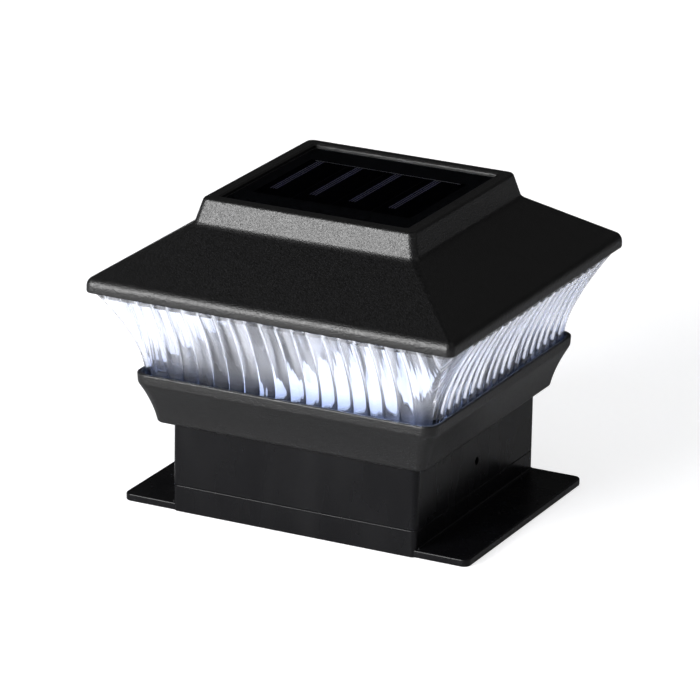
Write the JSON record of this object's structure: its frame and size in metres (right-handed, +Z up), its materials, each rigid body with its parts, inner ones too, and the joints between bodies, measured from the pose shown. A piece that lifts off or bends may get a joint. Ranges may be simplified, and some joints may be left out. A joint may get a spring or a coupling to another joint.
{
  "type": "deck post cap light",
  "caption": "Square solar light for the top of a deck post, with a hipped roof, a flared fluted lens, a collar, a post sleeve and a winged base adapter.",
  "frame": {"origin": "middle of the base adapter's underside, on the ground plane", "axes": "+Z up; X runs along the two wings of the base adapter, Y across them; the front seen in the picture faces -Y"},
  "size_m": [0.158, 0.158, 0.1282],
  "materials": {
    "textured_abs": "moulded ABS with a fine grain",
    "satin_abs": "smooth moulded ABS, satin",
    "clear_lens": "clear moulded polystyrene, polished",
    "panel_cover": "clear encapsulant over dark cells, gloss",
    "solar_cell": "polycrystalline silicon, dark blue",
    "black_board": "black laminate",
    "sealant": "cured silicone",
    "foam_gasket": "closed-cell foam",
    "white_plastic": "white moulded polystyrene",
    "door_plastic": "white moulded ABS",
    "reflector_white": "glossy white moulded plastic",
    "screw_steel": "zinc plated",
    "contact_metal": "nickel plated spring steel",
    "battery_sleeve": "shrink sleeve over a steel can",
    "green_board": "glass-fibre laminate with solder mask",
    "white_board": "laminate with white solder mask",
    "components": "moulded component bodies",
    "led_package": "white LED packages with phosphor",
    "switch_shell": "tinned steel shell",
    "knob_plastic": "moulded acetal",
    "red_wire": "PVC insulation",
    "white_wire": "PVC insulation",
    "black_wire": "PVC insulation"
  },
  "bodies": {
    "base": {"base_adapter": "satin_abs"},
    "lamp_body": {"sleeve": "satin_abs", "sleeve_screws": "screw_steel", "collar": "textured_abs", "reflector": "reflector_white"},
    "head": {"roof_cap": "textured_abs", "panel_glass": "panel_cover", "solar_cells": "solar_cell", "panel_board": "black_board", "panel_seal": "sealant", "lens": "clear_lens", "lens_gasket": "foam_gasket", "under_plate": "white_plastic", "plate_screws": "screw_steel", "battery": "battery_sleeve", "battery_contact": "contact_metal", "battery_spring": "contact_metal", "control_board": "green_board", "board_parts": "components", "board_screws": "screw_steel", "led_board": "white_board", "leds": "led_package", "led_screws": "screw_steel", "switch_body": "switch_shell", "panel_leads": "red_wire", "led_leads": "white_wire", "battery_leads": "black_wire"},
    "door": {"battery_door": "door_plastic"},
    "knob": {"switch_knob": "knob_plastic"}
  },
  "joints": [
    {"name": "lamp_lift", "type": "slide", "parent": "base", "child": "lamp_body", "axis": [0, 0, 1], "range_m": [0, 0.04]},
    {"name": "head_lift", "type": "slide", "parent": "lamp_body", "child": "head", "axis": [0, 0, 1], "range_m": [0, 0.06]},
    {"name": "door_hinge", "type": "hinge", "parent": "head", "child": "door", "pos_m": [-0.0224, 0, 0.0892], "axis": [0, -1, 0], "range_deg": [0, 90]},
    {"name": "switch_slide", "type": "slide", "parent": "head", "child": "knob", "axis": [1, 0, 0], "range_m": [0, 0.003]}
  ]
}
